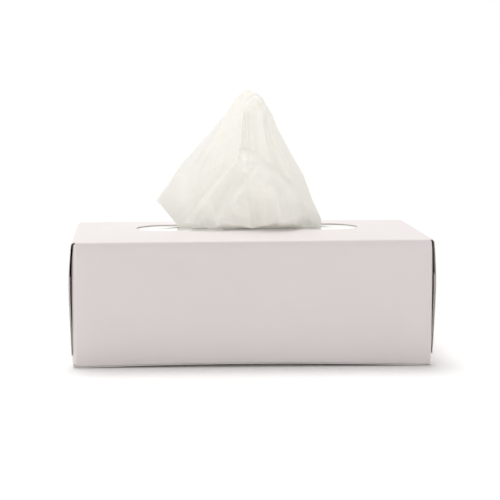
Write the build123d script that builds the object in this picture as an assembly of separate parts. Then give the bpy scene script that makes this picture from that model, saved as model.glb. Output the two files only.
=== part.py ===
"""A full flat box of facial tissues with one tissue standing in its opening.

Frame: X runs along the box, Y from the front panel to the back panel, +Z is up.
The origin is under the middle of the box, on the surface that it stands on.
All sizes are in millimetres.
"""

from build123d import *
from math import pi, sqrt
import os

os.makedirs("parts", exist_ok=True)

# ---- Carton: one blank of paperboard, folded and glued -------------------------------
length = 230.0  # front panel, from corner to corner
depth = 120.0  # outside of the front panel to outside of the back panel
height = 82.0  # underside to top face
board = 0.5  # thickness of the paperboard
crease = 1.5  # bend radius of the four long creases, to the middle of the board
glue_lap = 15.0  # lap on the front panel's lower edge, glued inside the bottom panel
seam_reveal = 0.3  # bottom panel's cut edge, behind the front panel's bend

# ---- End closures: dust flaps, then the bottom's flap, then the top's flap -----------
end_bow = 1.5  # how far the full box pushes the middle of each end outwards
end_crease = 2.5  # bend radius of the top's and bottom's end flaps
dust_flap = 45.0  # reach of each dust flap across the end
dust_relief = 4.0  # dust flap's upper and lower edges, from the top and the underside
inner_flap = 60.0  # height that the bottom's flap reaches
outer_flap_gap = 11.0  # free edge of the top's flap, above the underside
flap_relief = 0.3  # end flaps' side edges, inside the bend of the long creases
flap_root = 10.0  # how far each flap's solid runs back into the panel it hangs from

# ---- Opening and its film -----------------------------------------------------------
opening_length = 151.0
opening_width = 38.0
film = 0.1  # thickness of the clear film
film_margin = 12.0  # glued border of the film round the opening
slit_length = 120.0  # slit along the middle of the film
slit_spare = 11.0  # slit beyond each side of the bunched tissue, where its lips meet
slit_grip = 1.0  # gap between the slit's lips and the bunched tissue, at the middle

# ---- Tissues ------------------------------------------------------------------------
clearance = 0.3  # between soft pieces and what they lie against
stack_end_gap = 8.0  # stack's ends to the dust flaps
stack_side_gap = 6.5  # stack's folds to the front and back panels
stack_headroom = 9.5  # top of the stack to the underside of the top panel
stack_fold = 3.0  # roundness of the folded edges

bunch_depth = 9.0  # drawn tissue where the slit holds it, front to back
tissue_rise = 96.5  # peak of the drawn tissue above the top face
tissue_foot_depth = 28.0  # drawn tissue just above the film, front to back
tissue_peak_depth = 10.0

next_length = 62.0  # next tissue where it passes through the slit
next_depth = 3.6
next_rise = 46.5  # its peak above the top face
next_peak = 9.0  # its peak, to the right of the middle
next_tip_room = 3.0  # room in the drawn tissue beyond each pointed side of the next one

# ---- Worked out ---------------------------------------------------------------------
bend = crease + board / 2  # outside radius of a long crease
mid_height = height / 2
bow_radius = height**2 / (8 * end_bow) + end_bow / 2
bow_centre = length / 2 + end_bow - bow_radius
flap_width = depth - 2 * (bend + flap_relief)
under_top = height - board
bunch_length = slit_length - 2 * slit_spare
stack_bottom = 2 * board
stack_top = under_top - stack_headroom

DUST, INNER, OUTER = 0, 1, 2  # order of the glued layers on each end, inside first


def bow_x(z, layer):
    """Middle of the board of one end layer at height z, on the right-hand end."""
    radius = bow_radius + (layer - 0.5) * board
    return bow_centre + sqrt(radius**2 - (z - mid_height) ** 2)


def strip(path, plane):
    """Section of board along a path drawn in a plane."""
    return plane * trace(path, board)


def both_ways(section, width):
    """A section made solid to the same distance on each side of its plane."""
    return extrude(section, width / 2, both=True)


def lens(full_length, full_width):
    """Pointed oval between two arcs, as a slit opens."""
    tip = full_length / 2
    side = full_width / 2
    upper = ThreePointArc((-tip, 0), (0, side), (tip, 0))
    lower = ThreePointArc((tip, 0), (0, -side), (-tip, 0))
    return make_face([upper, lower])


# ---- Carton -------------------------------------------------------------------------
def sleeve():
    """Bottom, back, top and front panels, and the lap that closes them into a tube."""
    front = -depth / 2 + board / 2
    back = depth / 2 - board / 2
    top = height - board / 2
    wrap = [
        (-depth / 2 + bend + seam_reveal, board / 2),
        (back, board / 2),
        (back, top),
        (front, top),
        (front, mid_height),
    ]
    lap = [(front, mid_height), (front, board * 1.5), (front + glue_lap, board * 1.5)]
    tube = Part() + [
        both_ways(strip(FilletPolyline(*route, radius=crease), Plane.YZ), length)
        for route in (wrap, lap)
    ]
    # The front and back panels stop where the dust flaps' bends begin.
    bends = Pos(0, 0, mid_height) * Box(length - 2 * bend, depth, height - 2 * dust_relief)
    ends = Pos(0, 0, mid_height) * Box(length, depth, height - 2 * dust_relief)
    return tube - (ends - bends)


def end_flap(layer, panel_z, free_z):
    """A flap on the right-hand end that hangs from the top or stands on the bottom."""
    into = 1 if free_z > panel_z else -1
    landing = panel_z + into * 3 * end_crease
    bent = FilletPolyline(
        (length / 2 - flap_root, panel_z),
        (bow_x(panel_z, layer), panel_z),
        (bow_x(landing, layer), landing),
        radius=end_crease,
    )
    middle = (landing + free_z) / 2
    bowed = ThreePointArc(
        (bow_x(landing, layer), landing),
        (bow_x(middle, layer), middle),
        (bow_x(free_z, layer), free_z),
    )
    return both_ways(strip(bent + bowed, Plane.XZ), flap_width)


def dust_flaps():
    """Flaps of the front and back panels on the right-hand end, bowed as the end is."""
    flap_x = bow_x(mid_height, DUST)
    wall = depth / 2 - board / 2
    route = [
        (length / 2 - flap_root, -wall),
        (flap_x, -wall),
        (flap_x, -depth / 2 + dust_flap),
    ]
    section = strip(FilletPolyline(*route, radius=crease), Plane.XY.offset(mid_height))
    axis = Axis((bow_centre, 0, mid_height), (0, 1, 0))
    half_turn = (mid_height - dust_relief) / bow_radius * 180 / pi
    flap = revolve(section, axis, half_turn) + revolve(section, axis, -half_turn)
    return flap + mirror(flap, Plane.XZ)


def carton():
    """The whole folded blank."""
    right = (
        dust_flaps()
        + end_flap(INNER, board / 2, inner_flap)
        + end_flap(OUTER, height - board / 2, outer_flap_gap)
    )
    opening = Pos(0, 0, height) * both_ways(
        SlotOverall(opening_length, opening_width), 4 * board
    )
    return sleeve() + right + mirror(right, Plane.YZ) - opening


# ---- Film ---------------------------------------------------------------------------
def film_window():
    """Clear film glued under the opening, its slit held open by the bunched tissue."""
    sheet = Rectangle(opening_length + 2 * film_margin, opening_width + 2 * film_margin)
    slit = lens(slit_length, bunch_depth + 2 * slit_grip)
    return Pos(0, 0, under_top - film) * extrude(sheet - slit, film)


# ---- Tissues ------------------------------------------------------------------------
def tissue_stack():
    """Interfolded sheets, as one block with rounded folds at the front and the back."""
    across = depth - 2 * board - 2 * stack_side_gap
    along = length - 2 * board - 2 * stack_end_gap
    tall = stack_top - stack_bottom
    block = Pos(0, 0, stack_bottom + tall / 2) * Box(along, across, tall)
    return fillet(block.edges().filter_by(Axis.X), stack_fold)


def next_tissue_body(gap, tip_room):
    """The next sheet, drawn part of the way up, or the room that it needs round it."""
    reach = next_length / 2 + tip_room
    foot = lens(2 * reach, next_depth + 2 * gap)
    bottom = stack_top + clearance - gap
    peak_z = height + next_rise + tip_room
    neck = Pos(0, 0, bottom) * extrude(foot, height - bottom)
    blade = Pos(0, 0, height) * extrude(foot, peak_z - height)
    outline = Polyline((-reach, height), (reach, height), (next_peak, peak_z), close=True)
    return neck + (blade & both_ways(make_face(Plane.XZ * outline), depth))


def drawn_tissue():
    """The standing sheet: its outline from the front, thinned towards the peak."""
    foot = bunch_length / 2
    outline = [
        (-foot + 3, 0),
        (-60, 19),
        (-45, 43),
        (-12, 82),
        (-9, 90),
        (-1, tissue_rise),
        (6, tissue_rise - 1),
        (10, 88),
        (22, 65),
        (38, 36),
        (46, 14),
        (foot + 2, 0),
    ]
    base = under_top + clearance
    raised = [(x, base + z * (height + tissue_rise - base) / tissue_rise) for x, z in outline]
    front_view = both_ways(make_face(Plane.XZ * Polyline(*raised, close=True)), depth)
    peak = height + tissue_rise
    profile = Polyline(
        (-tissue_foot_depth / 2, base),
        (tissue_foot_depth / 2, base),
        (tissue_peak_depth / 2, peak),
        (-tissue_peak_depth / 2, peak),
        close=True,
    )
    side_view = both_ways(make_face(Plane.YZ * profile), length)
    bottom = stack_top + clearance
    neck = Pos(0, 0, bottom) * extrude(lens(bunch_length, bunch_depth), base - bottom + board)
    room = next_tissue_body(clearance, next_tip_room)
    return (front_view & side_view) + neck - room


nodes = {
    "carton": carton(),
    "film_window": film_window(),
    "tissue_stack": tissue_stack(),
    "next_tissue": next_tissue_body(0, 0),
    "drawn_tissue": drawn_tissue(),
}
for name, shape in nodes.items():
    export_step(shape, f"parts/{name}.step")
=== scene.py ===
"""A flat box of facial tissues with one tissue standing in its opening.

Lengths are in metres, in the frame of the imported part: X along the box, Y from the front
panel to the back panel, Z up, with the origin under the middle of the box.
"""

import math

import bmesh
import bpy
import numpy as np
from bpy.props import FloatProperty, FloatVectorProperty, IntProperty, PointerProperty
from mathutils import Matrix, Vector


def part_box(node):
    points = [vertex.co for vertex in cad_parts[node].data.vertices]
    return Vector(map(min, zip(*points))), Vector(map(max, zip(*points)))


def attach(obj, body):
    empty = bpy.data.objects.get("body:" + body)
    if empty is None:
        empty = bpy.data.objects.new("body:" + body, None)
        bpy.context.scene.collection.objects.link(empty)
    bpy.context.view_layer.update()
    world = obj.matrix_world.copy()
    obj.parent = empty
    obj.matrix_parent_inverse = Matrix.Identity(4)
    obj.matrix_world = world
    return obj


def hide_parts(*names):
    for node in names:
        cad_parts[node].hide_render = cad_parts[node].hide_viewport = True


bl_info = {
    "name": "Tissue box",
    "version": (1, 0, 0),
    "blender": (4, 5, 0),
    "location": "View3D > Sidebar > Tissue Box",
    "description": "A paperboard carton of facial tissues with one tissue drawn up",
    "category": "Add Mesh",
}

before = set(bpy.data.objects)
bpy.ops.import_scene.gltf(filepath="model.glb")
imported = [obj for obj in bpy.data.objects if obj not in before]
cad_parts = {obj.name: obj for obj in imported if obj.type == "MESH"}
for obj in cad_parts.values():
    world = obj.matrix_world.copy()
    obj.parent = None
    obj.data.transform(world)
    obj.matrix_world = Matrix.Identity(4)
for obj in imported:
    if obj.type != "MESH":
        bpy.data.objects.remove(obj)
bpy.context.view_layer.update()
MM = 0.001

CARTON_LOW, CARTON_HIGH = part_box("carton")
FILM_LOW, FILM_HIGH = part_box("film_window")
STACK_LOW, STACK_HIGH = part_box("tissue_stack")


# ---- Sizes and colours ----
def size(name, about, default):
    """A length that a user would change."""
    return FloatProperty(name=name, description=about, default=default, unit="LENGTH", precision=4)


def share(name, about, default):
    """A plain number."""
    return FloatProperty(name=name, description=about, default=default)


def colour(name, about, default):
    """A colour in linear red, green and blue."""
    return FloatVectorProperty(
        name=name, description=about, default=default, subtype="COLOR", size=3, min=0
    )


class TISSUEBOX_PG_carton(bpy.types.PropertyGroup):
    """Sizes and finish of the folded paperboard."""

    length: size("Length", "Front panel, from corner to corner", 230 * MM)
    depth: size("Depth", "Front panel to back panel", CARTON_HIGH.y - CARTON_LOW.y)
    height: size("Height", "Underside to top panel", CARTON_HIGH.z)
    board: size("Board", "Thickness of the paperboard", 0.5 * MM)
    crease: size("Crease", "Bend radius of the long creases", 1.5 * MM)
    corner_left: size("Left corner", "Bend radius of the left upright corners", 4.4 * MM)
    corner_right: size("Right corner", "Bend radius of the right upright corners", 2.6 * MM)
    bulge_left: size("Left bulge", "Swell of the left upright corners", 1.6 * MM)
    bulge_right: size("Right bulge", "Swell of the right upright corners", 1.2 * MM)
    stand_off: size("Stand-off", "How far the glued end flaps stand out", 3.95 * MM)
    crown: size("Crown", "Rise of the top panel over the full stack", 2.5 * MM)
    belly: size("Belly", "Swell of the front and back panels", 1.0 * MM)
    arch: size("Arch", "Rise of the middle of the bottom panel", 2.1 * MM)
    flare: size("Flare", "How much further each end reaches at the bottom", 0.7 * MM)
    skew: size("Skew", "How much higher the top is at the right-hand end", 1.3 * MM)
    opening_length: size("Opening length", "Oval opening in the top", 151 * MM)
    opening_width: size("Opening width", "Oval opening in the top", 38 * MM)
    white: colour("Coated side", "Clay-coated outside of the board", (0.80, 0.752, 0.748))
    # The dust flaps show only in the shaded slots at the ends, and this tint sets the mauve colour
    # of those slots.
    mauve: colour("Dust flaps", "Tint of the board on the dust flaps", (0.90, 0.74, 0.83))
    core: colour("Cut edge", "Fibres in the board's cut edges", (0.93, 0.90, 0.86))
    inside: colour("Uncoated side", "Inside of the board", (0.66, 0.64, 0.60))


class TISSUEBOX_PG_film(bpy.types.PropertyGroup):
    """The clear film under the opening."""

    slit_length: size("Slit length", "Cut along the middle of the film", 120 * MM)
    slit_open: size("Slit opening", "How far the bunched tissue holds the lips apart", 12 * MM)
    thickness: size("Thickness", "Thickness of the film", 0.05 * MM)
    sag: size("Sag", "Droop of the film between the rim and the slit", 0.4 * MM)
    roughness: share("Roughness", "Roughness of the film's surface", 0.16)


class TISSUEBOX_PG_tissue(bpy.types.PropertyGroup):
    """One facial tissue and how it stands."""

    cut_width: size("Cut width", "Sheet along its leading edge", 210 * MM)
    cut_length: size("Cut length", "Sheet from its leading edge to its trailing edge", 205 * MM)
    cells: IntProperty(name="Cells", description="Faces across the sheet", default=96)
    paper: colour("Paper", "Tissue in open light", (0.97, 0.962, 0.92))
    glow: share("Glow", "Share of the light that passes through one sheet", 0.18)


class TISSUEBOX_PG_stage(bpy.types.PropertyGroup):
    """Floor, light and camera."""

    floor: colour("Floor", "Pale floor", (0.97, 0.97, 0.965))
    front_light: colour("Front light", "Light that falls on the front panel", (0.68, 0.66, 0.66))
    back_light: colour("Back light", "Light from behind the box", (1.08, 1.065, 1.04))
    top_light: colour("Top light", "Ambient light from above", (0.36, 0.355, 0.345))
    top_strength: share("Overhead light", "Strength of the soft light overhead", 1.9)
    lens: FloatProperty(name="Lens", description="Focal length in millimetres", default=108.4)
    distance: size("Distance", "Camera to the front panel", 0.959)
    camera_side: size("Camera side", "Camera to the left of the middle of the box", 0.0736)
    camera_rise: size("Camera rise", "Camera above the top panel", 0.1176)


# ---- Shaders ----
class Wire:
    """A socket's output. Arithmetic on it adds Math nodes."""

    def __init__(self, tree, socket):
        self.tree = tree
        self.socket = socket

    def maths(self, operation, *values):
        """The result of one Math node."""
        node = self.tree.nodes.new("ShaderNodeMath")
        node.operation = operation
        for place, value in zip(node.inputs, values):
            connect(self.tree, value, place)
        return Wire(self.tree, node.outputs[0])

    def __add__(self, other):
        return self.maths("ADD", self, other)

    __radd__ = __add__

    def __sub__(self, other):
        return self.maths("SUBTRACT", self, other)

    def __rsub__(self, other):
        return self.maths("SUBTRACT", other, self)

    def __mul__(self, other):
        return self.maths("MULTIPLY", self, other)

    __rmul__ = __mul__

    def clamp(self):
        """Kept between 0 and 1."""
        return self.maths("MINIMUM", self.maths("MAXIMUM", self, 0.0), 1.0)


def connect(tree, value, socket):
    """Links a wire to a socket, or sets a plain value on it."""
    if isinstance(value, Wire):
        tree.links.new(value.socket, socket)
    elif value is not None:
        socket.default_value = value


class Finish:
    """A material or world and the nodes that are added to it."""

    def __init__(self, owner):
        owner.use_nodes = True
        self.owner = owner
        self.tree = owner.node_tree
        self.tree.nodes.clear()

    def node(self, kind, settings=None, inputs=None, output=0):
        """Adds a node. Settings come first, then values or wires by socket name or number."""
        node = self.tree.nodes.new("ShaderNode" + kind)
        for name, setting in (settings or {}).items():
            setattr(node, name, setting)
        for name, value in (inputs or {}).items():
            connect(self.tree, value, node.inputs[name])
        return Wire(self.tree, node.outputs[output]) if node.outputs else None

    def place(self):
        """Object coordinates."""
        return self.node("TexCoord", output=3)

    def mix(self, factor, a, b):
        """A colour between a and b."""
        values = {0: factor, 6: rgba(a), 7: rgba(b)}
        return self.node("Mix", {"data_type": "RGBA"}, values, output=2)

    def noise(self, vector, scale, detail=3.0, roughness=0.5):
        """Soft random values round 0.5."""
        values = {"Vector": vector, "Scale": scale, "Detail": detail, "Roughness": roughness}
        return self.node("TexNoise", inputs=values)

    def stretched(self, vector, scale):
        """A vector scaled differently along each axis."""
        return self.node("Mapping", inputs={"Vector": vector, "Scale": scale})

    def bump(self, height, strength, distance):
        """Normals tilted by a height."""
        values = {"Height": height, "Strength": strength, "Distance": distance}
        return self.node("Bump", inputs=values)

    def surface(self, tone, roughness, relief, **others):
        """A principled shader. Others are its inputs, with _ for each space."""
        values = {"Base Color": tone, "Roughness": roughness, "Normal": relief}
        values.update((name.replace("_", " "), value) for name, value in others.items())
        return self.node("BsdfPrincipled", inputs=values)

    def shade(self, first, second, factor):
        """Two shaders mixed."""
        return self.node("MixShader", inputs={0: factor, 1: first, 2: second})

    def output(self, surface, kind="OutputMaterial"):
        """Ends the material or world, and gives it back."""
        self.node(kind, inputs={"Surface": surface})
        return self.owner


def rgba(value):
    """Three colour numbers with their alpha. Anything else is left as it is."""
    if isinstance(value, (Wire, float, int)):
        return value
    return (*value[:3], 1.0)


def new_finish(name):
    """A new material, with no nodes yet."""
    return Finish(bpy.data.materials.new(name))


def coated_board(name, tint):
    """Smooth clay-coated paperboard with a faint mottle and fibres under the coat."""
    f = new_finish(name)
    place = f.place()
    mottle = f.noise(place, 38.0, 4.0)
    fibres = f.noise(f.stretched(place, (420.0, 900.0, 900.0)), 1.0, 2.0)
    paler = [min(1.0, c * 1.02) for c in tint]
    deeper = [c * 0.975 for c in tint]
    relief = f.bump(fibres + 0.6 * mottle, 0.10, 0.0002)
    return f.output(f.surface(f.mix(mottle, deeper, paler), 0.40 + 0.14 * mottle, relief))


def raw_board(name, tint):
    """Uncoated paper fibres, as on the board's inside and its cut edges."""
    f = new_finish(name)
    place = f.place()
    flecks = f.noise(place, 900.0, 3.0, 0.7)
    clouds = f.noise(place, 60.0, 3.0)
    paler = [min(1.0, c * 1.08) for c in tint]
    deeper = [c * 0.88 for c in tint]
    tone = f.mix((0.6 * flecks + 0.4 * clouds).clamp(), deeper, paler)
    return f.output(f.surface(tone, 0.85, f.bump(flecks, 0.3, 0.0002)))


def soft_tissue(name, paper, glow, cut, see_through):
    """Two-ply tissue: creped across the sheet, lit from both sides, slightly sheer, and given a
    faint painted glow.
    """
    f = new_finish(name)
    sheet = f.stretched(f.node("UVMap"), (*cut, 1.0))
    crepe = f.noise(f.stretched(sheet, (300.0, 1700.0, 1.0)), 1.0, 3.0, 0.6)
    cloud = f.noise(sheet, 60.0, 3.0)
    thick = [min(1.0, c * 1.02) for c in paper]
    thin = [c * 0.98 for c in paper]
    tone = f.mix((0.5 * crepe + 0.5 * cloud).clamp(), thin, thick)
    relief = f.bump(crepe + 0.5 * cloud, 0.2, 0.0003)
    through = f.node("BsdfTranslucent", inputs={"Color": rgba(paper), "Normal": relief})
    # Painted glow: a faint emission in the paper's colour brightens the whole sheet, most visibly
    # where it lies in shade.
    front = f.surface(tone, 0.92, relief, Emission_Color=rgba(paper), Emission_Strength=0.08)
    body = f.shade(front, through, glow)
    sheer = (see_through + 0.12 * (0.5 - crepe)).clamp()
    return f.output(f.shade(body, f.node("BsdfTransparent"), sheer))


def stacked_tissue(name, paper):
    """The edges and folds of many sheets, one above another."""
    f = new_finish(name)
    place = f.place()
    layers = f.noise(f.stretched(place, (40.0, 40.0, 2600.0)), 1.0, 2.0)
    cloud = f.noise(place, 150.0, 4.0)
    tone = f.mix(layers, [c * 0.86 for c in paper], paper)
    return f.output(f.surface(tone, 0.95, f.bump(layers + 0.5 * cloud, 0.5, 0.0005)))


def clear_film(name, roughness):
    """Thin clear film that mirrors more the lower it is looked along."""
    f = new_finish(name)
    place = f.place()
    ripple = f.noise(f.stretched(place, (30.0, 90.0, 30.0)), 1.0, 2.0)
    relief = f.bump(ripple, 0.2, 0.001)
    mirror = f.surface((0.97, 0.97, 0.97, 1.0), roughness, relief, Metallic=1.0)
    edge_on = f.node("Fresnel", inputs={"IOR": 1.5})
    clear = f.node("BsdfTransparent", inputs={"Color": (0.97, 0.97, 0.97, 1.0)})
    return f.output(f.shade(clear, mirror, (edge_on * 2.4 + 0.03).clamp()))


# ---- Modelling helpers ----
def only(piece):
    """Makes one object the selected, active one."""
    bpy.ops.object.select_all(action="DESELECT")
    piece.hide_set(False)
    piece.select_set(True)
    bpy.context.view_layer.objects.active = piece


def new_piece(name):
    """Names the primitive that was just added."""
    piece = bpy.context.object
    piece.name = name
    piece.data.name = name
    return piece


def place_in_mesh(piece):
    """Moves an object's place, turn and size into its mesh."""
    only(piece)
    bpy.ops.object.transform_apply(location=True, rotation=True, scale=True)


def apply_modifier(piece, kind, **settings):
    """Adds a modifier, sets it and applies it."""
    only(piece)
    modifier = piece.modifiers.new(kind.title(), kind)
    for name, value in settings.items():
        setattr(modifier, name, value)
    bpy.ops.object.modifier_apply(modifier=modifier.name)


def choose_edges(piece, wanted):
    """In edit mode, selects the open edges whose two ends pass a test on their places."""
    mesh = bmesh.from_edit_mesh(piece.data)
    bpy.ops.mesh.select_all(action="DESELECT")
    for edge in mesh.edges:
        if edge.is_boundary and all(wanted(v.co) for v in edge.verts):
            edge.select_set(True)
    mesh.select_flush_mode()
    bmesh.update_edit_mesh(piece.data)


def extrude_along(steps):
    """Extrudes the selected edges by one vector after another."""
    for step in steps:
        bpy.ops.mesh.extrude_edges_move(TRANSFORM_OT_translate={"value": step})


def leave_edit_mode():
    """Turns every face outwards first."""
    bpy.ops.mesh.select_all(action="SELECT")
    bpy.ops.mesh.normals_make_consistent(inside=False)
    bpy.ops.object.mode_set(mode="OBJECT")


def arc(radius, start, turn, count):
    """Steps in a plane along an arc, as (first, second) pairs, from a heading in degrees."""
    steps = []
    chord = 2 * radius * math.sin(math.radians(abs(turn)) / count / 2)
    for i in range(count):
        heading = math.radians(start + turn * (i + 0.5) / count)
        steps.append((chord * math.cos(heading), chord * math.sin(heading)))
    return steps


def straight(distance, heading, spacing):
    """Steps in a plane along a straight run."""
    count = max(1, round(distance / spacing))
    step = distance / count
    angle = math.radians(heading)
    return [(step * math.cos(angle), step * math.sin(angle))] * count


def smooth(t):
    """0 to 1 with a soft start and end."""
    t = np.clip(t, 0.0, 1.0)
    return t * t * (3 - 2 * t)


def reshape(mesh, move):
    """Moves every vertex by a rule on all the places at once."""
    places = np.zeros(len(mesh.vertices) * 3)
    mesh.vertices.foreach_get("co", places)
    moved = move(places.reshape(-1, 3))
    mesh.vertices.foreach_set("co", moved.ravel())
    mesh.update()


def hand_over(piece, slot, *nodes):
    """The last calls on each piece: its body and the hidden CAD nodes it stands for. slot is not
    used.
    """
    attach(piece, "root")
    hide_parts(*nodes)


# ---- Carton ----
CELL = 4 * MM  # spacing of the board's faces
BEND_STEPS = 8  # faces round a bend
TIP = 4 * MM  # ends of the sleeve that only the long creases reach
LAYER_GAP = 0.06 * MM  # air between glued layers, so that their faces never meet
NEAR = 0.01 * MM
LAP = 15 * MM  # width of the glue lap
SEAM = 0.3 * MM  # bottom's cut edge to the front panel's face
DUST_FLAP = 42 * MM
INNER_FLAP = 58 * MM
OUTER_FOLD = 2.6 * MM  # bend radius of the outer flaps, at the top
INNER_FOLD = 0.8 * MM  # bend radius of the inner flaps, at the bottom
OUTER_GAP = 8 * MM  # outer flap's free edge to the floor
WIDEST = 0.64  # where the outer flap stands out most, as a share of the height
TUCK = 1.75 * MM  # how much nearer to the end the outer flap's free edge lies
SCORING = 0.45  # shape of the crease over the glue lap, from 1 for round to 0 for square
PINCH = 0.12  # radius left where an upright corner meets the top and the bottom, as a share
LEAN = 7 * MM  # run in which a dust flap leans out to the inner flaps
INNER_BEND = 5 * MM  # height in which an inner flap leans out to the outer one


def sleeve_steps(c):
    """Steps round the box from the glue lap's free edge to the bottom's cut edge."""
    flat = 2 * c.crease + c.board
    steps = straight(LAP - c.crease - CELL / 2, 180, CELL)
    steps += arc(c.crease, 180, -90, BEND_STEPS)
    steps += straight(c.height - flat - c.board - LAYER_GAP, 90, CELL)
    steps += arc(c.crease, 90, -90, BEND_STEPS)
    steps += straight(c.depth - flat, 0, CELL)
    steps += arc(c.crease, 0, -90, BEND_STEPS)
    steps += straight(c.height - flat, -90, CELL)
    steps += arc(c.crease, -90, -90, BEND_STEPS)
    steps += straight(c.depth - c.crease - c.board / 2 - SEAM, 180, CELL)
    return steps


def fold_sleeve(c):
    """The lap and the four panels, as one strip extruded round the box."""
    bpy.ops.object.select_all(action="DESELECT")
    lap_y = -c.depth / 2 + c.board / 2 + LAP
    lap_z = c.board * 1.5 + LAYER_GAP
    across = c.length - 2 * TIP
    bpy.ops.mesh.primitive_grid_add(x_subdivisions=round(across / CELL), y_subdivisions=1, size=1)
    piece = new_piece("folded_board")
    first = CELL / 2
    piece.scale = (across, first, 1)
    piece.location = (0, lap_y - first / 2, lap_z)
    place_in_mesh(piece)
    bpy.ops.object.mode_set(mode="EDIT")
    bpy.ops.mesh.select_mode(type="EDGE")
    choose_edges(piece, lambda p: abs(p.y - lap_y + first) < NEAR)
    extrude_along([(0, y, z) for y, z in sleeve_steps(c)])
    return piece


def fold_end(piece, c, side):
    """The flaps on one end, folded from the ends of the four panels."""
    end = side * (c.length / 2 - TIP)
    tip = side * c.length / 2
    top = c.height - c.board / 2
    bottom = c.board / 2
    wall = c.depth / 2 - c.board / 2
    wall_low = bottom + c.crease - NEAR
    wall_high = top - c.crease + NEAR

    def at_end(p):
        return abs(p.x - end) < NEAR

    def on_wall(p):
        return abs(abs(p.y) - wall) < NEAR and wall_low < p.z < wall_high

    def on_lap(p):
        return c.board < p.z < 2 * c.board and p.y < 0 and abs(p.y) < wall - c.crease / 2

    for face in (-1, 1):
        choose_edges(piece, lambda p: at_end(p) and on_wall(p) and p.y * face > 0)
        route = arc(TIP, 0, 90, BEND_STEPS) + straight(DUST_FLAP, 90, CELL)
        extrude_along([(side * x, -face * y, 0) for x, y in route])

    choose_edges(piece, lambda p: at_end(p) and not on_lap(p) and not (
        on_wall(p) and wall_low + CELL / 4 < p.z < wall_high - CELL / 4))
    extrude_along([(side * TIP, 0, 0)])

    flaps = (
        (top, -1, OUTER_FOLD, c.height - OUTER_GAP - OUTER_FOLD),
        (bottom, 1, INNER_FOLD, INNER_FLAP),
    )
    for panel_z, up, fold, reach in flaps:
        choose_edges(piece, lambda p: abs(p.x - tip) < NEAR and abs(p.z - panel_z) < NEAR
                     and abs(p.y) < wall - c.crease + NEAR)
        route = arc(fold, 0, 90, BEND_STEPS) + straight(reach, 90, CELL)
        extrude_along([(side * x, 0, up * z) for x, z in route])


def stand_off(z, c):
    """How far the outer flap's board stands out from the end of the top panel."""
    widest = WIDEST * c.height
    above = np.clip((z - widest) / (c.height - OUTER_FOLD - widest), 0, 1)
    below = np.clip((widest - z) / (0.5 * c.height), 0, None)
    return c.stand_off - (c.stand_off - OUTER_FOLD) * above**2 - TUCK * below**1.3


def crown(x, y, c):
    """Rise of the top panel, and of the film glued under it."""
    u = np.clip(2 * x / c.length, -1, 1)
    v = np.clip(2 * y / c.depth, -1, 1)
    return c.crown * (1 - u**4) * (1 - v**2)


def higher_end(x, c):
    """How much higher the top is at x than at the left-hand end."""
    return c.skew * (x / c.length + 0.5)


def top_rise(x, y, c):
    """How far the top panel stands above its flat folded place."""
    return crown(x, y, c) + higher_end(x, c)


def full_box(places, c):
    """The shape that the full stack presses into the folded board."""
    x, y, z = places.T
    side = np.sign(x)
    face = np.sign(y)
    half = c.length / 2
    wall = c.depth / 2 - c.board / 2
    low = c.board / 2 + c.crease - NEAR
    high = c.height - c.board / 2 - c.crease + NEAR
    w = np.clip((z - c.height / 2) / (c.height / 2), -1, 1)
    upright = (z > low) & (z < high)
    layer = c.board + LAYER_GAP
    outer = stand_off(z, c)

    # Upright corners: a soft bend that pinches to a point at the top and the bottom.
    across = np.abs(x) - (half - TIP)
    along = np.abs(y) - (wall - TIP)
    on_arc = np.abs(np.hypot(across, along) - TIP) < NEAR
    turned = upright & (across > NEAR) & (along > NEAR) & on_arc
    angle = np.arctan2(along, across)
    full = 1 - np.abs(w) ** 7
    radius = np.where(side < 0, c.corner_left, c.corner_right) * (PINCH + (1 - PINCH) * full)
    bulge = np.where(side < 0, c.bulge_left, c.bulge_right) * full
    bent_x = side * (half + bulge - radius + radius * np.cos(angle))
    bent_y = face * (wall - radius + radius * np.sin(angle))

    # The crease over the glue lap is scored sharper than the others.
    lap_top = 1.5 * c.board + LAYER_GAP + c.crease
    out = (np.abs(y) - (wall - c.crease)) / c.crease
    under = (lap_top - z) / c.crease
    scored = (y < 0) & (out > 0) & (out < 1) & (under > 0) & (under < 1) & (np.abs(x) < half)
    scored_y = -(wall - c.crease) - c.crease * np.clip(out, 0, 1) ** SCORING
    scored_z = lap_top - c.crease * np.clip(under, 0, 1) ** SCORING

    # Dust flaps lean out from the corners until they meet the inner flaps.
    dust = upright & (np.abs(np.abs(x) - half) < NEAR) & (along < NEAR)
    lean = smooth(-along / LEAN)
    met = np.maximum(outer - 2 * layer, bulge - 0.3 * MM)
    dust_x = side * (half + bulge + lean * (met - bulge))
    dust_y = face * (wall - radius + along)

    # Glued end flaps.
    past_end = np.abs(x) - half
    in_inner = (past_end > NEAR) & (past_end < INNER_FOLD + NEAR) & (z < high - CELL)
    rise = smooth((z - c.board) / INNER_BEND)
    inner_x = x + side * (outer - layer - INNER_FOLD) * rise
    in_outer = (past_end > OUTER_FOLD - NEAR) & (z < c.height - OUTER_FOLD)
    outer_x = x + side * (outer - OUTER_FOLD)

    # The stack swells the panels, and the bottom arches between the box's ends. The top is
    # higher at the right-hand end, and the ends spread at the bottom.
    u = np.clip(x / half, -1, 1)
    on_wall = (np.abs(np.abs(y) - wall) < NEAR) & (np.abs(x) < half - TIP + NEAR)
    belly = np.where(on_wall, c.belly * (1 - u**4) * (1 - w**2), 0)
    raised = crown(x, y, c) * (z > c.height - 2 * c.board) * (np.abs(x) < half)
    arched = c.arch * (1 - u**2) * (1 - w) ** 2 / 4 * (np.abs(x) < half)
    taller = c.skew * (u + 1) / 2 * z / c.height
    flare = c.flare * u * (1 - z / c.height)

    new_x = np.select([turned, dust, in_inner, in_outer], [bent_x, dust_x, inner_x, outer_x], x)
    new_y = np.select([turned, dust, scored], [bent_y, dust_y, scored_y], y + face * belly)
    z = np.where(scored, scored_z, z)
    return np.column_stack((new_x + flare, new_y, z + raised + arched + taller))


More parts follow.
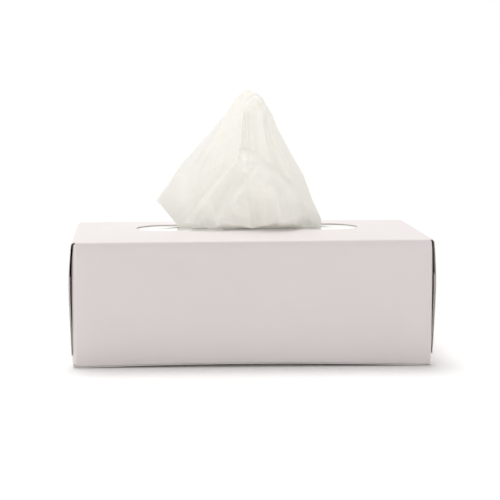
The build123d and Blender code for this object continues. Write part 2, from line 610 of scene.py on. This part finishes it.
def paint_layers(piece, c):
    """Dust flaps, seen only in the shaded slots at the ends, get the mauve-tinted board. Other
    outside faces keep the white one.
    """
    for polygon in piece.data.polygons:
        p = polygon.center
        at_end = abs(abs(p.x) - c.length / 2) < NEAR
        upright = c.board * 3 < p.z < c.height - c.board * 3
        polygon.material_index = 3 if at_end and upright else 0


class TISSUEBOX_OT_carton(bpy.types.Operator):
    """Fold the carton from one sheet of board and cut its opening."""

    bl_idname = "tissuebox.carton"
    bl_label = "Carton"

    def execute(self, context):
        c = context.scene.tissuebox_carton
        piece = fold_sleeve(c)
        for side in (-1, 1):
            fold_end(piece, c, side)
        leave_edit_mode()
        for finish in (
            coated_board("coated_board", c.white),
            raw_board("board_core", c.core),
            raw_board("board_inside", c.inside),
            coated_board("tinted_board", c.mauve),
        ):
            piece.data.materials.append(finish)
        paint_layers(piece, c)
        reshape(piece.data, lambda places: full_box(places, c))
        apply_modifier(
            piece, "SOLIDIFY", thickness=c.board, offset=0.0, material_offset=2,
            material_offset_rim=1,
        )
        cut_opening(piece, c)
        bpy.ops.object.shade_smooth_by_angle(angle=math.radians(40))
        hand_over(piece, "paperboard", "carton")
        return {"FINISHED"}


def cut_opening(piece, c):
    """Cuts the oval through the top panel."""
    bpy.ops.object.select_all(action="DESELECT")
    radius = c.opening_width / 2
    bpy.ops.mesh.primitive_cylinder_add(
        vertices=64, radius=radius, depth=20 * MM, location=(0, 0, c.height)
    )
    cutter = new_piece("opening_cutter")
    place_in_mesh(cutter)
    spread = c.opening_length / 2 - radius

    def lengthen(places):
        ends = np.sign(np.round(places[:, 0], 6))
        return places + np.outer(ends, (spread, 0, 0))

    reshape(cutter.data, lengthen)
    cutter.data.materials.append(piece.data.materials[1])
    apply_modifier(piece, "BOOLEAN", operation="DIFFERENCE", solver="EXACT", object=cutter)
    bpy.data.objects.remove(cutter)
    only(piece)


# ---- Film ----
SAG_REACH = (70 * MM, 19 * MM)  # how far the sag reaches along and across the box
LIFT_REACH = (56 * MM, 7 * MM)  # how far the lift at the slit reaches
LIFT = 2.2 * MM  # rise of the slit's lips round the tissue


def arch(distance, reach):
    """1 in the middle, and 0 from the reach outwards."""
    return np.clip(1 - (distance / reach) ** 2, 0, 1)


def film_shape(places, f, c):
    """Half of the film: one row along the slit's lip, the last row glued to the board."""
    x, y, z = places.T
    far = (FILM_HIGH.y - FILM_LOW.y) / 2
    t = y / far
    lip = f.slit_open / 2 * arch(x, f.slit_length / 2)
    y = lip + t * (far - lip)
    sagging = arch(x, SAG_REACH[0]) * arch(y, SAG_REACH[1])
    lifted = arch(x, LIFT_REACH[0]) * np.exp(-((y / LIFT_REACH[1]) ** 2))
    z = z + top_rise(x, y, c) - f.sag * sagging + LIFT * lifted
    return np.column_stack((x, y, z))


class TISSUEBOX_OT_film(bpy.types.Operator):
    """Model the clear film with its slit held open."""

    bl_idname = "tissuebox.film"
    bl_label = "Film window"

    def execute(self, context):
        f = context.scene.tissuebox_film
        long = FILM_HIGH.x - FILM_LOW.x
        far = (FILM_HIGH.y - FILM_LOW.y) / 2
        bpy.ops.object.select_all(action="DESELECT")
        bpy.ops.mesh.primitive_grid_add(x_subdivisions=88, y_subdivisions=16, size=1)
        piece = new_piece("slit_film")
        piece.scale = (long, far, 1)
        piece.location = (0, far / 2, FILM_LOW.z)
        place_in_mesh(piece)
        carton = context.scene.tissuebox_carton
        reshape(piece.data, lambda places: film_shape(places, f, carton))
        apply_modifier(piece, "MIRROR", use_axis=(False, True, False), merge_threshold=1e-5)
        bpy.ops.object.mode_set(mode="EDIT")
        leave_edit_mode()
        apply_modifier(piece, "SOLIDIFY", thickness=f.thickness, offset=-1.0)
        bpy.ops.object.shade_smooth_by_angle(angle=math.radians(50))
        piece.data.materials.append(clear_film("clear_film", f.roughness))
        hand_over(piece, "clear_film", "film_window")
        return {"FINISHED"}


# ---- Stack ----
STACK_FOLDS = 30  # fewer and thicker than the real ones
STACK_CLEAR = 0.3 * MM  # stack to what lies above and below it
FOLD_PROUD = 1.2 * MM  # how far the folds stand out past the gaps between them


class TISSUEBOX_OT_stack(bpy.types.Operator):
    """Model the interfolded stack, fold above fold."""

    bl_idname = "tissuebox.stack"
    bl_label = "Tissue stack"

    def execute(self, context):
        t = context.scene.tissuebox_tissue
        low, high = STACK_LOW, STACK_HIGH
        bpy.ops.object.select_all(action="DESELECT")
        bpy.ops.mesh.primitive_grid_add(x_subdivisions=40, y_subdivisions=20, size=1)
        piece = new_piece("folded_stack")
        long, broad, tall = high - low
        piece.scale = (long - 2 * FOLD_PROUD, broad - 2 * FOLD_PROUD, 1)
        piece.location = (0, 0, low.z + STACK_CLEAR)
        place_in_mesh(piece)
        bpy.ops.object.mode_set(mode="EDIT")
        bpy.ops.mesh.select_mode(type="FACE")
        bpy.ops.mesh.select_all(action="SELECT")
        fold = (tall - 2 * STACK_CLEAR) / STACK_FOLDS
        wide = long / (long - 2 * FOLD_PROUD)
        deep = broad / (broad - 2 * FOLD_PROUD)

        def grow(part):
            step = (0, 0, fold * part)
            bpy.ops.mesh.extrude_region_move(TRANSFORM_OT_translate={"value": step})

        grow(0.3)
        for level in range(STACK_FOLDS):
            bpy.ops.transform.resize(value=(wide, deep, 1))
            grow(0.5)
            bpy.ops.transform.resize(value=(1 / wide, 1 / deep, 1))
            if level < STACK_FOLDS - 1:
                grow(0.5)
        leave_edit_mode()
        only(piece)
        bpy.ops.object.shade_smooth_by_angle(angle=math.radians(60))
        piece.data.materials.append(stacked_tissue("stacked_tissue", t.paper))
        hand_over(piece, "tissue", "tissue_stack")
        return {"FINISHED"}


# ---- Sheets ----
# A standing sheet is folded in half from the middle of its leading edge. The fold runs down
# the right-hand side, and each half is a fan of lines from the peak. These are the fan's main
# lines, in millimetres as (along the box, towards the back, above the top panel), each with
# its place in the fan, from 0 at the fold to 1 at the leading edge.
DRAWN_FOLD = (
    (-2, 0, 97), (6, 0, 95), (10.5, 0, 90), (17, 0, 80), (21, 0, 69.5), (29.5, 0, 54),
    (38.5, 0, 38.5), (45, 0, 21), (51.5, 0, 7), (51, 0, 2.5),
)
DRAWN_FRONT_MIDDLE = (
    (-2, 0, 97), (3, -3, 93), (4, -5, 82), (4.5, -7, 70), (4.5, -9, 55),
    (4, -11, 40), (3, -14.5, 24), (2.5, -17.5, 11), (2.5, -19.5, 5), (2.5, -20, 3), (2, -5, 2.5),
)
DRAWN_FRONT_EDGE = (
    (-2, 0, 97), (-3, -2, 93), (-4, -4, 81), (-6.3, -6, 60), (-8.5, -8, 49), (-16, -9, 42),
    (-25, -12, 33), (-34, -15, 22.5), (-42, -17, 12), (-46, -19, 5), (-46, -19.5, 3),
    (-46, -4, 2.5),
)
DRAWN_BACK_MIDDLE = (
    (-2, 0, 97), (0, 3, 93), (-1, 5, 82), (-2, 7, 70), (-2.5, 9, 55),
    (-2.5, 11, 40), (-2, 13, 24), (-1, 14, 11), (0, 15, 5), (0, 15, 2.9), (0, 5, 2.5),
)
DRAWN_BACK_SIDE = (
    (-2, 0, 97), (-5, 2, 93), (-11, 4, 81), (-19, 6, 66), (-28, 8, 49), (-37, 7, 31),
    (-44, 5, 14), (-46.5, 3, 2.5),
)
DRAWN_BACK_EDGE = (
    (-2, 0, 97), (-8, 0, 93), (-13, 1, 83), (-22.5, 2, 70), (-32, 2, 59), (-44, 1, 46),
    (-53.5, 0, 32), (-63, -2, 21),
)
NEXT_FOLD = (
    (9.5, 0, 48), (16, 0, 42), (23, 0, 35), (29, 0, 27), (34, 0, 16), (39, 0, 6), (38, 0, 2.5),
)
NEXT_FRONT_MIDDLE = ((9.5, 0, 48), (9, -2, 40), (7, -4, 28), (5, -5, 14), (4, -3, 2.5))
NEXT_FRONT_EDGE = (
    (9.5, 0, 48), (4, -1, 43), (-1, -2, 37), (-8, -3, 28), (-20, -4, 18), (-33, -4, 8),
    (-40, -3, 2.5),
)
NEXT_BACK_MIDDLE = ((9.5, 0, 48), (5, 2, 40), (2, 4, 28), (0, 5, 14), (0, 3, 2.5))
NEXT_BACK_EDGE = (
    (9.5, 0, 48), (2, 1, 52), (-6, 1, 54.5), (-9, 2, 48), (-12.5, 3, 37), (-15, 4, 29),
    (-24, 5, 18), (-36, 4, 7), (-41, 3, 2.5),
)
# Creases: a line as (along the box, above the top panel), and then how far the side below or
# right of it stands out, how far its crest does, and the crease's width, in millimetres.
DRAWN_CREASES = (
    (((-14, 44), (-6, 55), (8, 48), (23, 35.5), (29, 27), (32, 19), (39, -10)), 8.0, 3.0, 2.2),
    (((-14, 14), (-9, 26), (-4, 32), (0, 38), (8, 47)), 6.0, 2.6, 1.8),
    (((-8, 82), (-4, 86), (4, 92), (8, 91), (12, 86)), -3.4, 3.4, 2.2),
    (((3, 86), (3.5, 70), (4, 54), (6, 50)), -4.6, 0.0, 2.2),
    (((8.5, 87), (10, 72), (12.5, 58), (15, 44)), 0.0, 4.6, 2.8),
    (((13, 80), (17.5, 64), (23, 48), (29, 36)), 0.0, 4.0, 2.6),
    (((17, 32), (19, 20), (23, -8)), -3.6, 2.0, 2.4),
    (((-2, 28), (1, 16), (0, -6)), 0.0, 3.0, 3.0),
    (((-26, 26), (-24, 15), (-18, -8)), -3.6, 2.4, 2.4),
    (((9, 40), (10, 22), (13, -8)), 0.0, 2.8, 3.2),
    (((26, 30), (29, 18), (34, -8)), 3.4, 2.0, 2.0),
    (((-12, 16), (-11, 10), (-8, -6)), 2.4, 2.4, 1.8),
    (((-36, 15), (-34, 9), (-29, -5)), 2.4, 2.4, 1.8),
    (((38, 22), (41, 12), (46, -6)), -2.4, 2.4, 1.8),
)
BACK_CREASES = (
    (((-9, 90), (-20, 68), (-34, 47), (-47, 27)), 0.0, 3.0, 3.2),
    (((-6, 82), (-14, 62), (-24, 44), (-34, 27)), 0.0, -3.4, 3.0),
    (((-12, 52), (-25, 37), (-38, 21), (-47, 6)), 0.0, -4.5, 3.4),
    (((-24, 52), (-33, 36), (-41, 16)), 2.0, 3.0, 2.8),
    (((-44, 42), (-45, 28), (-44, 8)), -2.0, -1.5, 2.6),
    (((3, 88), (6, 60), (9, 32), (8, 6)), 0.0, -3.0, 3.4),
    (((9, 82), (17, 56), (24, 30), (27, 6)), 0.0, 3.0, 3.2),
    (((-4, 72), (-6, 44), (-10, 20), (-12, 5)), 0.0, 3.0, 3.4),
    (((-20, 30), (-22, 16), (-23, 4)), 0.0, -2.6, 2.6),
    (((30, 40), (36, 22), (39, 6)), 0.0, -2.6, 2.6),
)
LIP = 2.5 * MM  # the slit's lips, above the top panel's flat folded place
LEAD = 1.5 * MM  # the fan's centre, above the middle of the leading edge
SHELF = 46 * MM  # width of the folds that lie on the stack
SHELF_DROP = 0.9 * MM  # one of those folds to the next
SHELF_FOLD = 50 * MM  # where the sheet's fold lies there, right of the middle
HALF_GAP = 0.3 * MM  # half the gap between the sheet's halves there
TURNING = 40 * MM  # run below the slit in which the sheet turns to lie there
FULL_PLEAT = 105 * MM  # distance from the peak at which the pleats are deepest
LAST_PLEAT = 110 * MM  # distance from the peak beyond which they change no more
OPENING_OUT = 14 * MM  # height above the slit at which the pleats are fully open
CREASE_REACH = 26 * MM  # how far a crease's step reaches across the sheet
HEM = 4 * MM  # how far the front half's leading edge curls forwards


class Fan:
    """One half of a standing sheet, from its main lines and their places in the fan."""

    def __init__(self, places, lines, base_z):
        self.places = places
        self.lines = []
        self.feet = []
        for line in lines:
            points = np.array(line) * MM + (0, 0, CARTON_HIGH.z)
            runs = np.linalg.norm(np.diff(points, axis=0), axis=1)
            reach = np.concatenate(([0], np.cumsum(runs)))
            self.lines.append((reach, points))
            lands = points[-1, 2] < base_z + NEAR
            self.feet.append(reach[-1] if lands else 2 * reach[-1])

    def foot(self, place):
        """Distance along the sheet from the peak to the slit."""
        return np.interp(place, self.places, self.feet)

    def point(self, place, reach):
        """Where the sheet's point lies at its place in the fan and distance from the peak."""
        found = []
        for axis in range(3):
            spots = np.array([np.interp(reach, r, points[:, axis]) for r, points in self.lines])
            across = np.minimum(place, self.places[-1])
            index = np.clip(np.searchsorted(self.places, across, side="right") - 1, 0,
                            len(self.places) - 2)
            low = np.take(self.places, index)
            high = np.take(self.places, index + 1)
            t = (across - low) / (high - low)
            if axis == 1:
                t = np.where(index == 0, np.sqrt(1 - (1 - t) ** 2), t)
            column = np.arange(len(place))
            found.append((1 - t) * spots[index, column] + t * spots[index + 1, column])
        return np.array(found)


def pleats(turn, reach, side, seed):
    """Uneven folds across the fan, from -1 to 1: broad ones, and then narrow ones."""
    wander = 0.5 * np.sin(reach / (29 * MM) + seed) + 0.3 * np.sin(reach / (12 * MM) + 2 * seed)
    phase = seed + 1.9 * side
    broad = 0.62 * np.sin(17 * turn + phase + 0.7 * wander)
    broad = broad + 0.38 * np.sin(29 * turn - phase + wander)
    narrow = np.sin(53 * turn + 2 * phase + 1.6 * wander) * (0.6 + 0.4 * np.sin(11 * turn + phase))
    return broad, narrow


def crease(x, z, line, step, crest, width):
    """How far a crease lifts the sheet towards the front, at x and at z over the top panel."""
    corners = np.array(line) * MM
    nearest = np.full(len(x), 1.0)
    turned = np.zeros(len(x))
    along = np.zeros(len(x))
    done = 0.0
    for start, end in zip(corners[:-1], corners[1:]):
        run = end - start
        length = np.hypot(*run)
        from_x = x - start[0]
        from_z = z - start[1]
        t = np.clip((from_x * run[0] + from_z * run[1]) / length**2, 0, 1)
        distance = np.hypot(from_x - t * run[0], from_z - t * run[1])
        closer = distance < nearest
        nearest = np.where(closer, distance, nearest)
        turned = np.where(closer, np.sign(run[1] * from_x - run[0] * from_z), turned)
        along = np.where(closer, done + t * length, along)
        done += length
    ends = smooth(along / (0.2 * done)) * smooth((done - along) / (0.2 * done))
    fading = smooth(1 - nearest / CREASE_REACH)
    lifted = step * smooth(turned * nearest / (width * MM)) * fading
    crested = crest * np.exp(-((nearest / (0.7 * width * MM)) ** 2))
    return ends * (lifted + crested) * MM


def stand(flat, front, back, base_z, hidden_z, pleat, seed, to, creases=((), ())):
    """Places of the flat sheet's points, (across, down), as the sheet stands.

    front and back are its fans. It passes the slit at base_z, and lies on the stack at
    hidden_z. pleat is the pleats' depth, seed chooses them, and to is the side, -1 for the
    front and 1 for the back, to which the hidden part turns. creases holds the front
    half's list and the back half's.
    """
    across, down = flat.T
    rho = np.hypot(across, down + LEAD)
    turn = np.arctan2(np.abs(across), down + LEAD) / (math.pi / 2)
    places = np.zeros((3, len(across)))
    over = np.zeros(len(across))
    for fan, chosen in ((front, across >= 0), (back, across < 0)):
        foot = fan.foot(turn[chosen])
        places[:, chosen] = fan.point(turn[chosen], np.minimum(rho[chosen], foot))
        over[chosen] = np.maximum(rho[chosen] - foot, 0)
    x, y, z = places
    side = np.where(across < 0, 1.0, -1.0)

    # Pleats and creases in the part that shows.
    shown = np.minimum(rho, LAST_PLEAT)
    broad, narrow = pleats(turn, shown, side, seed)
    above = z - base_z
    settled = 0.5 + 0.5 * smooth(above / OPENING_OUT)
    off_fold = np.clip(turn * 7, 0, 1)
    growth = np.clip(shown / FULL_PLEAT, 0, 1)
    fold = pleat * (broad * growth**0.7 + 0.42 * narrow * growth**1.6)
    y = y + fold * settled * off_fold
    x = x + 0.35 * fold * settled * off_fold * np.cos(9 * turn + seed)
    for lines, in_half in zip(creases, (across >= 0, across < 0)):
        for line, step, crest, width in lines:
            lift = crease(x, z - CARTON_HIGH.z, line, step, crest, width)
            lift = lift * smooth(above / (2 * MM)) * off_fold
            y = y - np.where(in_half & (above > 0), lift, 0)
    y = y - np.where(across >= 0, HEM * smooth((turn - 0.9) / 0.1) * settled * off_fold, 0)

    # Below the film the sheet turns and lies folded on the stack.
    drop = base_z - hidden_z
    level = np.maximum(over - drop, 0)
    spread = smooth(over / TURNING)
    zigzag = SHELF - np.abs(level % (2 * SHELF) - SHELF)
    folded = np.floor((level + NEAR) / SHELF)
    x = x + spread * (SHELF_FOLD - np.abs(across) - x)
    y = y * (1 - 0.7 * smooth(over / (10 * MM))) + to * zigzag
    z = z - np.minimum(over, drop) + spread * (HALF_GAP * side - SHELF_DROP * folded)
    higher = higher_end(x, bpy.context.scene.tissuebox_carton) * (z > hidden_z)
    return np.column_stack((x, y, z + higher))


def flat_sheet(name, t):
    """A flat rectangle of tissue, with its own UV map, in many square cells."""
    bpy.ops.object.select_all(action="DESELECT")
    rows = round(t.cells * t.cut_length / t.cut_width)
    bpy.ops.mesh.primitive_grid_add(
        x_subdivisions=t.cells, y_subdivisions=rows, size=1, calc_uvs=True
    )
    piece = new_piece(name)
    piece.scale = (t.cut_width, t.cut_length, 1)
    place_in_mesh(piece)
    return piece


def flat_places(mesh, t):
    """Each vertex as (across, down), from the middle of the leading edge."""
    places = np.zeros(len(mesh.vertices) * 3)
    mesh.vertices.foreach_get("co", places)
    places = places.reshape(-1, 3)
    return np.column_stack((places[:, 0], t.cut_length / 2 - places[:, 1]))


def held_points(flat, stood, base_z, t):
    """How firmly each point keeps its place: the slit and the peak hold it, and edges nearly."""
    across, down = flat.T
    z = stood[:, 2]
    low = 1 - smooth((z - base_z - 2 * MM) / (6 * MM))
    peak = 1 - smooth((np.hypot(across, down + LEAD) - 14 * MM) / (14 * MM))
    leading = smooth(1 - down / (30 * MM))
    outer = smooth((-across / (t.cut_width / 2) - 0.6) / 0.3) * (z > base_z)
    return np.clip(np.maximum.reduce((low, peak, 0.8 * leading, 0.8 * outer)), 0.12, 1)


def settle(piece, stood, held, frames, stiffness):
    """Lets the sheet hang as cloth from its held points, and keeps the result."""
    piece.shape_key_add(name="flat")
    start = piece.shape_key_add(name="stood")
    start.data.foreach_set("co", stood.ravel())
    start.value = 1.0
    group = piece.vertex_groups.new(name="held")
    for index, weight in enumerate(held):
        group.add([index], float(weight), "REPLACE")
    cloth = piece.modifiers.new("Cloth", "CLOTH")
    s = cloth.settings
    s.quality = 6
    s.mass = 0.02
    s.tension_stiffness = s.compression_stiffness = stiffness
    s.shear_stiffness = stiffness * 0.5
    s.bending_stiffness = 0.05
    s.tension_damping = s.compression_damping = s.shear_damping = 5
    s.bending_damping = 0.5
    s.air_damping = 4
    s.vertex_group_mass = group.name
    s.effector_weights.gravity = 0.2
    s.rest_shape_key = piece.data.shape_keys.key_blocks["flat"]
    cloth.collision_settings.use_collision = False
    cloth.collision_settings.use_self_collision = False
    cloth.point_cache.frame_start = 1
    cloth.point_cache.frame_end = frames
    for number in range(1, frames + 1):
        bpy.context.scene.frame_set(number)
    shape = piece.evaluated_get(bpy.context.evaluated_depsgraph_get())
    settled = bpy.data.meshes.new_from_object(shape)
    piece.modifiers.clear()
    piece.shape_key_clear()
    piece.vertex_groups.clear()
    old = piece.data
    piece.data = settled
    bpy.data.meshes.remove(old)
    settled.name = piece.name
    bpy.context.scene.frame_set(1)


def finish_sheet(piece, t, see_through):
    """Smooths a sheet and gives it its paper."""
    apply_modifier(piece, "SUBSURF", levels=1, render_levels=1)
    bpy.ops.object.shade_smooth()
    cut = (t.cut_width, t.cut_length)
    piece.data.materials.clear()
    piece.data.materials.append(
        soft_tissue(piece.name + "_paper", t.paper, t.glow, cut, see_through)
    )


class TISSUEBOX_OT_drawn_tissue(bpy.types.Operator):
    """Stand the drawn tissue in the slit and let it hang."""

    bl_idname = "tissuebox.drawn_tissue"
    bl_label = "Drawn tissue"

    def execute(self, context):
        t = context.scene.tissuebox_tissue
        base_z = CARTON_HIGH.z + LIP
        front = Fan((0, 0.5, 1), (DRAWN_FOLD, DRAWN_FRONT_MIDDLE, DRAWN_FRONT_EDGE), base_z)
        back_lines = (DRAWN_FOLD, DRAWN_BACK_MIDDLE, DRAWN_BACK_SIDE, DRAWN_BACK_EDGE)
        back = Fan((0, 0.45, 0.86, 0.97), back_lines, base_z)
        piece = flat_sheet("drawn_sheet", t)
        flat = flat_places(piece.data, t)
        stood = stand(
            flat, front, back, base_z, hidden_z=STACK_HIGH.z + 3.2 * MM, pleat=2.6 * MM,
            seed=0.8, to=-1, creases=(DRAWN_CREASES, BACK_CREASES),
        )
        held = held_points(flat, stood, base_z, t)
        settle(piece, stood, held, frames=12, stiffness=12.0)
        finish_sheet(piece, t, see_through=0.10)
        hand_over(piece, "tissue", "drawn_tissue")
        return {"FINISHED"}


class TISSUEBOX_OT_next_tissue(bpy.types.Operator):
    """Stand the next sheet inside the drawn one."""

    bl_idname = "tissuebox.next_tissue"
    bl_label = "Next tissue"

    def execute(self, context):
        t = context.scene.tissuebox_tissue
        base_z = CARTON_HIGH.z + LIP
        front = Fan((0, 0.5, 1), (NEXT_FOLD, NEXT_FRONT_MIDDLE, NEXT_FRONT_EDGE), base_z)
        back = Fan((0, 0.5, 1), (NEXT_FOLD, NEXT_BACK_MIDDLE, NEXT_BACK_EDGE), base_z)
        piece = flat_sheet("next_sheet", t)
        flat = flat_places(piece.data, t)
        stood = stand(
            flat, front, back, base_z, hidden_z=STACK_HIGH.z + 1.0 * MM, pleat=1.2 * MM,
            seed=2.9, to=1,
        )
        reshape(piece.data, lambda places: stood)
        finish_sheet(piece, t, see_through=0.12)
        hand_over(piece, "tissue", "next_tissue")
        return {"FINISHED"}


# ---- Stage ----
CAMERA_TURN = (90 - 7.29, -0.1, -2.6)  # in degrees: looks down and right a little
CAMERA_SHIFT = 0.085  # picture's shift to the side, as a share of its width
LIGHT_TURN = (-13, -5, 0)  # in degrees
LIGHT_SPREAD = 32  # degrees across the soft light


def sky(s):
    """A pale room, brighter to the left and behind, that the camera sees as plain white."""
    world = bpy.data.worlds.new("studio")
    bpy.context.scene.world = world
    f = Finish(world)
    heading = f.node("TexCoord")
    right, back, up = (f.node("SeparateXYZ", inputs={0: heading}, output=i) for i in range(3))
    behind = (0.5 + 0.55 * back - 0.75 * right).clamp()
    overhead = (1.6 * up - 0.4).clamp()
    lit = f.mix(overhead, f.mix(behind, s.front_light, s.back_light), s.top_light)
    room = f.node("Background", inputs={"Color": lit})
    seen = f.node("Background", inputs={"Color": (1.0, 1.0, 1.0, 1.0)})
    f.output(f.shade(room, seen, f.node("LightPath")), kind="OutputWorld")


def soft_light(s):
    """One wide soft light overhead and a little behind the box."""
    data = bpy.data.lights.new("overhead_light", "SUN")
    light = bpy.data.objects.new("overhead_light", data)
    bpy.context.scene.collection.objects.link(light)
    light.rotation_euler = [math.radians(turn) for turn in LIGHT_TURN]
    data.angle = math.radians(LIGHT_SPREAD)
    data.energy = s.top_strength


class TISSUEBOX_OT_stage(bpy.types.Operator):
    """Lay the pale floor, light it and set the camera."""

    bl_idname = "tissuebox.stage"
    bl_label = "Stage"

    def execute(self, context):
        s = context.scene.tissuebox_stage
        bpy.ops.object.select_all(action="DESELECT")
        bpy.ops.mesh.primitive_plane_add(size=12, location=(0, 0, 0))
        floor = new_piece("floor")
        f = new_finish("pale_floor")
        f.output(f.node("BsdfDiffuse", inputs={"Color": rgba(s.floor)}))
        floor.data.materials.append(f.owner)

        sky(s)
        soft_light(s)

        data = bpy.data.cameras.new("camera")
        camera = bpy.data.objects.new("camera", data)
        context.scene.collection.objects.link(camera)
        front = CARTON_LOW.y
        camera.location = (-s.camera_side, front - s.distance, CARTON_HIGH.z + s.camera_rise)
        camera.rotation_euler = [math.radians(turn) for turn in CAMERA_TURN]
        data.lens = s.lens
        data.shift_x = CAMERA_SHIFT
        context.scene.camera = camera
        context.scene.view_settings.view_transform = "Standard"
        return {"FINISHED"}


# ---- Panel ----
class TISSUEBOX_PT_parts(bpy.types.Panel):
    """Lists the pieces of the box."""

    bl_idname = "TISSUEBOX_PT_parts"
    bl_label = "Tissue Box"
    bl_space_type = "VIEW_3D"
    bl_region_type = "UI"
    bl_category = "Tissue Box"

    def draw(self, context):
        for operator in OPERATORS:
            self.layout.operator(operator.bl_idname)
        for name in GROUPS:
            settings = getattr(context.scene, name)
            column = self.layout.column()
            for key in settings.__annotations__:
                column.prop(settings, key)


GROUPS = {
    "tissuebox_carton": TISSUEBOX_PG_carton,
    "tissuebox_film": TISSUEBOX_PG_film,
    "tissuebox_tissue": TISSUEBOX_PG_tissue,
    "tissuebox_stage": TISSUEBOX_PG_stage,
}
OPERATORS = (
    TISSUEBOX_OT_stage,
    TISSUEBOX_OT_carton,
    TISSUEBOX_OT_film,
    TISSUEBOX_OT_stack,
    TISSUEBOX_OT_next_tissue,
    TISSUEBOX_OT_drawn_tissue,
)


def register():
    for group in GROUPS.values():
        bpy.utils.register_class(group)
    for operator in OPERATORS:
        bpy.utils.register_class(operator)
    bpy.utils.register_class(TISSUEBOX_PT_parts)
    for name, group in GROUPS.items():
        setattr(bpy.types.Scene, name, PointerProperty(type=group))


def unregister():
    for name in GROUPS:
        delattr(bpy.types.Scene, name)
    bpy.utils.unregister_class(TISSUEBOX_PT_parts)
    for operator in reversed(OPERATORS):
        bpy.utils.unregister_class(operator)
    for group in reversed(list(GROUPS.values())):
        bpy.utils.unregister_class(group)


def main():
    """Builds the whole box."""
    register()
    bpy.ops.tissuebox.stage()
    bpy.ops.tissuebox.carton()
    bpy.ops.tissuebox.film()
    bpy.ops.tissuebox.stack()
    bpy.ops.tissuebox.next_tissue()
    bpy.ops.tissuebox.drawn_tissue()


if __name__ == "__main__":
    main()
